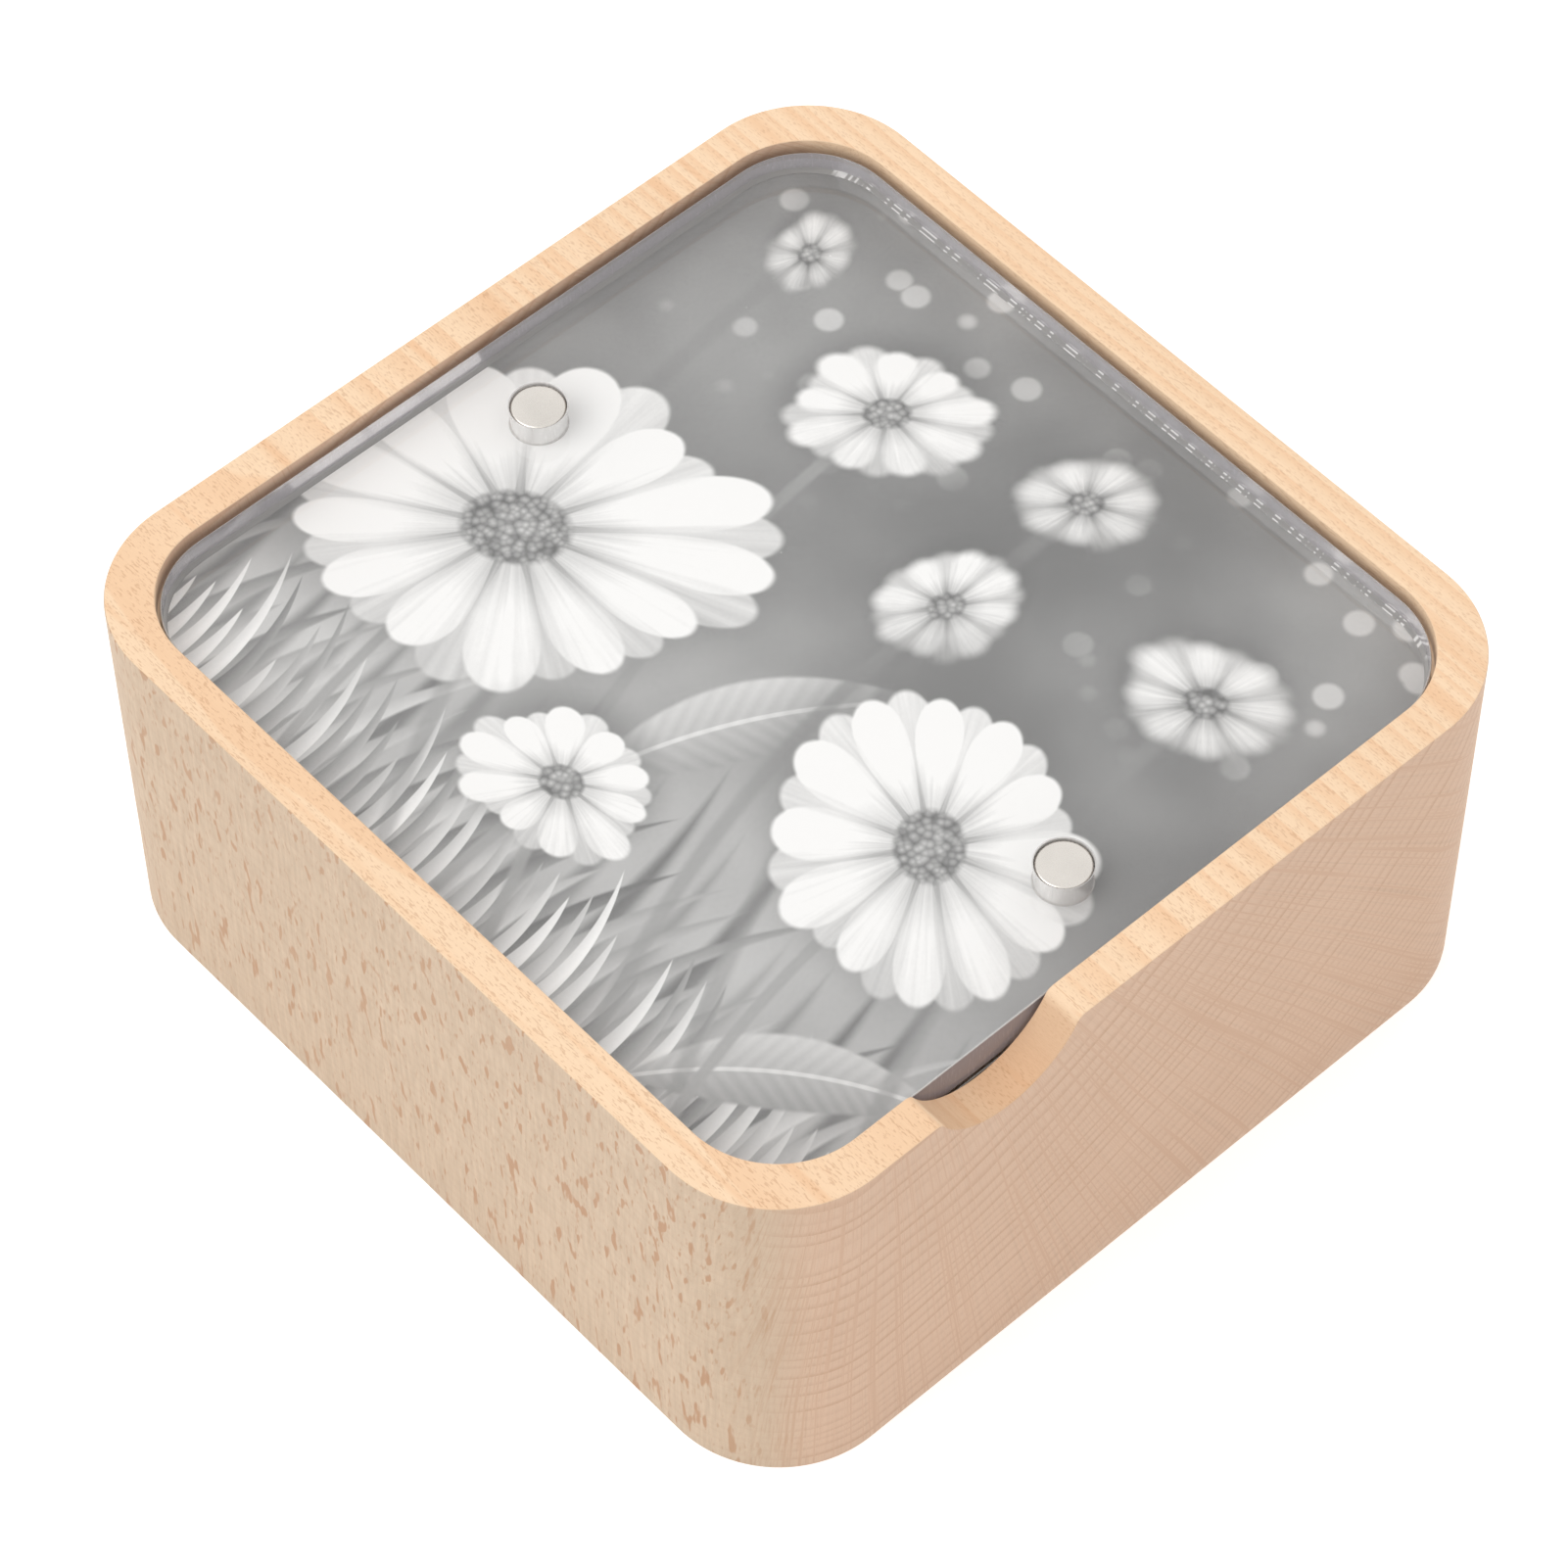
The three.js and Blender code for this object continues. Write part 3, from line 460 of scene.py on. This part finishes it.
def roundedBlock(low, high, corner, segments=24):
    bm = bmesh.new()
    bmesh.ops.create_cube(bm, size=1.0)
    for vert in bm.verts:
        vert.co = Vector(high[i] if vert.co[i] > 0 else low[i] for i in range(3))
    upright = [e for e in bm.edges if abs(e.verts[0].co.z - e.verts[1].co.z) > 1e-6]
    bmesh.ops.bevel(
        bm, geom=upright, offset=corner, segments=segments, profile=0.5, affect="EDGES", material=-1
    )
    return bm


def post(x, y, low, high, radius, segments=64):
    bm = bmesh.new()
    bmesh.ops.create_cone(
        bm, cap_ends=True, segments=segments, radius1=radius, radius2=radius, depth=high - low,
        matrix=Matrix.Translation((x, y, (low + high) / 2)),
    )
    return bm


def baked(piece):
    graph = bpy.context.evaluated_depsgraph_get()
    final = bpy.data.meshes.new_from_object(
        piece.evaluated_get(graph), preserve_all_data_layers=True, depsgraph=graph
    )
    piece.modifiers.clear()
    piece.data = final
    return piece


def turned(profile, steps=72):
    bm = bmesh.new()
    points = [bm.verts.new((radius, 0, z)) for radius, z in profile]
    lines = [bm.edges.new(pair) for pair in zip(points, points[1:])]
    bmesh.ops.spin(
        bm, geom=points + lines, cent=(0, 0, 0), axis=(0, 0, 1), angle=math.tau, steps=steps, use_merge=True
    )
    bmesh.ops.remove_doubles(bm, verts=bm.verts, dist=1e-7)
    return bm


def carve(piece, cutters, operation="DIFFERENCE"):
    tools = [toObject(f"cutter{i}", bm) for i, bm in enumerate(cutters)]
    for tool in tools:
        cutting = piece.modifiers.new("cut", "BOOLEAN")
        cutting.operation = operation
        cutting.solver = "EXACT"
        cutting.object = tool
    baked(piece)
    for tool in tools:
        bpy.data.objects.remove(tool)
    return piece


def soften(piece, width, segments=3):
    bevel = piece.modifiers.new("soften", "BEVEL")
    bevel.width = width
    bevel.segments = segments
    bevel.limit_method = "ANGLE"
    bevel.angle_limit = sharpAngle
    piece.modifiers.new("weigh", "WEIGHTED_NORMAL").keep_sharp = True
    piece.data.shade_smooth()
    return baked(piece)


def dress(piece, node, *materials):
    body = nodes[node]["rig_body"]
    piece.data.materials.clear()
    for material in materials or [looks[slotOf[node]]]:
        piece.data.materials.append(material)
    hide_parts(node)
    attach(piece, body)
    return piece


def middleOf(node):
    low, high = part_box(node)
    return (low + high) / 2


# Case
case = {
    "corner": 14 * mm,
    "rim": 4.6 * mm,
    "backWall": 5 * mm,
    "pocketCorner": 11 * mm,
    "ledge": 6 * mm,
    "cavityCorner": 16 * mm,
    "backCorner": 9 * mm,
    "cavityTop": 34.5 * mm,
    "edge": 0.4 * mm,
    "notch": {"radius": 10 * mm, "depth": 6 * mm, "edge": 1.2 * mm, "y": -21.5 * mm},
}


def notchTool(radius, depth, edge, y, start, end, rim):
    rise = radius - depth
    reach = math.sqrt((radius + edge) ** 2 - (rise + edge) ** 2)
    lean = math.atan2(rise + edge, reach)
    bm = bmesh.new()
    first = tip = bm.verts.new((start, y - reach, rim))
    shoulder = lean - math.pi / 2
    for across, up, angle, steps in [
        (-reach, -edge, shoulder, 8),
        (0, rise, math.pi - 2 * lean, 40),  # the scoop between the shoulders
        (reach, -edge, shoulder, 8),
    ]:
        spun = bmesh.ops.spin(
            bm, geom=[tip], cent=(start, y + across, rim + up), axis=(1, 0, 0), angle=angle, steps=steps
        )
        tip = next(g for g in spun["geom_last"] if isinstance(g, bmesh.types.BMVert))
    above = [bm.verts.new((start, y + across, rim + edge)) for across in (reach, -reach)]
    for pair in ((tip, above[0]), above, (above[1], first)):
        bm.edges.new(pair)
    face = bmesh.ops.contextual_create(bm, geom=bm.edges)["faces"]
    deep = bmesh.ops.extrude_face_region(bm, geom=face)["geom"]
    farVerts = [g for g in deep if isinstance(g, bmesh.types.BMVert)]
    bmesh.ops.translate(bm, vec=(end - start, 0, 0), verts=farVerts)
    return bm


def woodCase():
    low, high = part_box("wood_body")
    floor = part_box("rear_plate")[0].z
    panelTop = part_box("back_panel")[1].z
    hollows = []
    for wall, corner, bottom, top in [
        (case["rim"], case["pocketCorner"], floor, high.z + case["rim"]),
        (case["backWall"], case["backCorner"], -case["backWall"], panelTop),
        (case["backWall"] + case["ledge"], case["cavityCorner"], panelTop / 2, case["cavityTop"]),
    ]:
        start, end = (low.x + wall, low.y + wall, bottom), (high.x - wall, high.y - wall, top)
        hollows.append(roundedBlock(start, end, corner))
    notch = notchTool(**case["notch"], start=high.x - 1.5 * case["rim"], end=high.x + case["rim"], rim=high.z)
    piece = toObject("case", roundedBlock(low, high, case["corner"], 32))
    carve(piece, [*hollows, notch])
    soften(piece, case["edge"])
    for vert in piece.data.vertices:
        vert.co.z = min(vert.co.z, high.z)
    return piece


dress(woodCase(), "wood_body")
print("case made")


# Plates and magnets
plate = {
    "corner": 10.6 * mm, "hole": 3.06 * mm, "edge": 0.15 * mm, "arris": 0.5 * mm, "air": 0.04 * mm,
    "faces": ("clear_acrylic", "edge", "arris", "bore"),
}
magnet = {"edge": 0.3 * mm}


def clearPlate(node):
    low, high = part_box(node)
    sheet = roundedBlock((low.x, low.y, low.z + plate["air"]), high, plate["corner"])
    below = [e for e in sheet.edges if max(v.co.z for v in e.verts) < high.z]
    bmesh.ops.bevel(
        sheet, geom=below, offset=plate["arris"], segments=1, profile=0.5, affect="EDGES", material=-1
    )
    piece = toObject(node.replace("_", "") + "Clear", sheet)
    places = [middleOf(node.replace("plate", f"magnet_{side}")).xy for side in ("left", "right")]
    carve(piece, [post(*place, low.z - mm, high.z + mm, plate["hole"], 96) for place in places])
    soften(piece, plate["edge"], 2)
    dress(piece, node, *[looks[part] for part in plate["faces"]])
    for face in piece.data.polygons:
        up = face.normal.z
        nearHole = min((face.center.xy - place).length for place in places) < 1.1 * plate["hole"]
        part = "clear_acrylic"
        if nearHole or 0.2 < up < 0.95:
            part = "bore"
        elif abs(up) < 0.2:
            part = "edge"
        elif -0.95 < up < 0:
            part = "arris"
        face.material_index = plate["faces"].index(part)
    return piece


for node in ("front_plate", "rear_plate"):
    clearPlate(node)
for place in ("front", "rear"):
    for side in ("left", "right"):
        node = f"{place}_magnet_{side}"
        low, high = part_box(node)
        disc = post(*middleOf(node).xy, low.z, high.z, (high.x - low.x) / 2, 96)
        piece = toObject(f"{place}{side.title()}Disc", disc)
        dress(soften(piece, magnet["edge"]), node)
print("plates and magnets made")


# Back: panel, screws and winding key
back = {"corner": 8.6 * mm, "keyHole": 4.5 * mm, "edge": 0.25 * mm}
screw = {
    "headHeight": 1.2 * mm, "domeShare": 0.55, "domeSteps": 12, "shank": 1.2 * mm,
    "slotWidth": 0.6 * mm, "slotDepth": 0.5 * mm, "edge": 0.08 * mm,
    "turns": {"panel_screw": (0.5, 0.8), "movement_screw": (0.2, 1.1)},  # first and step, in radians
}
key = {
    "wing": 1.8 * mm, "wingShare": 0.8, "wingRound": 2.2,
    "hub": 3.4 * mm, "bore": 1.65 * mm, "boreStart": 0.31, "edge": 0.4 * mm,
}


def backPanel(node):
    low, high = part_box(node)
    piece = toObject("panel", roundedBlock(low, high, back["corner"]))
    carve(piece, [post(*middleOf("winding_arbor").xy, low.z - mm, high.z + mm, back["keyHole"])])
    return dress(soften(piece, back["edge"]), node)


def slottedScrew(node, turn):
    low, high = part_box(node)
    center = middleOf(node)
    radius, head, length = (high.x - low.x) / 2, screw["headHeight"], high.z - low.z
    shank, half = screw["shank"], screw["slotWidth"] / 2
    bends = [math.pi / 2 * i / screw["domeSteps"] for i in range(screw["domeSteps"] + 1)]
    dome = [(radius * math.sin(a), screw["domeShare"] * head * (1 - math.cos(a))) for a in bends]
    body = turned([*dome, (radius, head), (shank, head), (shank, length - shank), (0, length)])
    slot = roundedBlock((-2 * radius, -half, -mm), (2 * radius, half, screw["slotDepth"]), mm / 100, 1)
    for bm, angle in ((body, 0.0), (slot, turn)):
        bmesh.ops.rotate(bm, verts=bm.verts, cent=(0, 0, 0), matrix=Matrix.Rotation(angle, 3, "Z"))
        bmesh.ops.translate(bm, verts=bm.verts, vec=(center.x, center.y, low.z))
    piece = carve(toObject(node.replace("_", "") + "Slotted", body), [slot])
    return dress(soften(piece, screw["edge"], 2), node)


def windingKey(node):
    low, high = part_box(node)
    center = middleOf(node)
    height = (high.z - low.z) * key["wingShare"]
    corner = Vector(((high.x - low.x) / 2, height / 2, key["wing"] / 2))
    wing = roundedBlock(-corner, corner, height / key["wingRound"])
    bmesh.ops.rotate(wing, verts=wing.verts, cent=(0, 0, 0), matrix=Matrix.Rotation(math.pi / 2, 3, "X"))
    bmesh.ops.translate(wing, verts=wing.verts, vec=(center.x, center.y, low.z + height / 2))
    piece = toObject("wingKey", wing)
    carve(piece, [post(*center.xy, low.z, high.z, key["hub"])], "UNION")
    start = low.z + (high.z - low.z) * key["boreStart"]
    carve(piece, [post(*center.xy, start, high.z + mm, key["bore"])])
    return dress(soften(piece, key["edge"], 4), node)


backPanel("back_panel")
for kind, count in (("panel_screw", 4), ("movement_screw", 3)):
    first, step = screw["turns"][kind]
    for number in range(1, count + 1):
        slottedScrew(f"{kind}_{number}", first + step * number)
windingKey("winding_key")
print("back made")


# Stage, light and camera
studio = {
    "floorSize": 4.0, "floorColor": (0.9, 0.9, 0.9, 1), "floorLift": 0.45, "world": 0.8,
    "lampSize": 1.2, "lampWatts": 6.5, "lampPlace": (-0.35, -0.75, 1.3),
    "lightGap": 2.0,  # in mm, lets light in round the case's foot
}
photoView = {
    "azimuth": 48.1106, "elevation": 54.1161, "roll": -0.461, "distance": 0.6379,
    "target": (-0.0121, 0.0094, 0), "lens": 132.1125,
}


def stageAndLight():
    seen = ("Camera", "Glossy", "Transmission")
    bm = bmesh.new()
    bmesh.ops.create_grid(bm, x_segments=1, y_segments=1, size=studio["floorSize"])
    floor = toObject("floor", bm)
    paper = Shade("floorPaper")
    matt = paper.node("ShaderNodeBsdfDiffuse", {"Color": studio["floorColor"]})
    lift = paper.node("ShaderNodeEmission", {"Strength": studio["floorLift"]})
    lifted = paper.node("ShaderNodeAddShader", [matt, lift])
    shown = paper.node("ShaderNodeMixShader", [paper.rays(*seen), matt, lifted])
    # clear from below, and under the case, so that light reaches the back
    half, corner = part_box("wood_body")[1] / mm, case["corner"] / mm
    pastX, pastY = (
        (at.math("ABSOLUTE") - (side - corner)).math("MAXIMUM", 0.0)
        for at, side in zip(paper.place(), half.xy)
    )
    reach = (pastX * pastX + pastY * pastY) ** 0.5 - paper.rays("Shadow", "Diffuse") * studio["lightGap"]
    below = reach.ramp(corner - 0.3, corner - 0.2, 1.0, 0.0)
    under = paper.node("ShaderNodeNewGeometry", output="Backfacing").math("MAXIMUM", below)
    clear = paper.node("ShaderNodeBsdfTransparent")
    surface = paper.node("ShaderNodeMixShader", [under, shown, clear])
    paper.node("ShaderNodeOutputMaterial", {"Surface": surface})
    floor.data.materials.append(paper.material)
    world = bpy.data.worlds.new("studio")
    bpy.context.scene.world = world
    air = Shade("studio", world)
    glow, white = (
        air.node("ShaderNodeBackground", {"Color": (1, 1, 1, 1), "Strength": level})
        for level in (studio["world"], 1.0)
    )
    sky = air.node("ShaderNodeMixShader", [air.rays(*seen), glow, white])
    air.node("ShaderNodeOutputWorld", {"Surface": sky})
    lamp = bpy.data.lights.new("softbox", "AREA")
    lamp.shape = "DISK"
    lamp.size = studio["lampSize"]
    lamp.energy = studio["lampWatts"]
    softbox = bpy.data.objects.new("softbox", lamp)
    softbox.location = studio["lampPlace"]
    softbox.rotation_euler = (-softbox.location).to_track_quat("-Z", "Y").to_euler()
    bpy.context.scene.collection.objects.link(softbox)


def camera(azimuth, elevation, roll, distance, target, lens):
    turn, lift = math.radians(azimuth), math.radians(elevation)
    back = Vector((math.sin(turn) * math.cos(lift), -math.cos(turn) * math.cos(lift), math.sin(lift)))
    data = bpy.data.cameras.new("camera")
    data.sensor_width = 36
    data.lens = lens
    data.clip_start = 0.01
    eye = bpy.data.objects.new("camera", data)
    eye.matrix_world = (
        Matrix.Translation(Vector(target) + back * distance)
        @ back.to_track_quat("Z", "Y").to_matrix().to_4x4()
        @ Matrix.Rotation(math.radians(roll), 4, "Z")
    )
    bpy.context.scene.collection.objects.link(eye)
    bpy.context.scene.camera = eye
    return eye


stageAndLight()
eye = camera(**photoView)
bpy.context.scene.view_settings.view_transform = "Standard"
print("camera", [tuple(round(v, 5) for v in row) for row in eye.matrix_world])
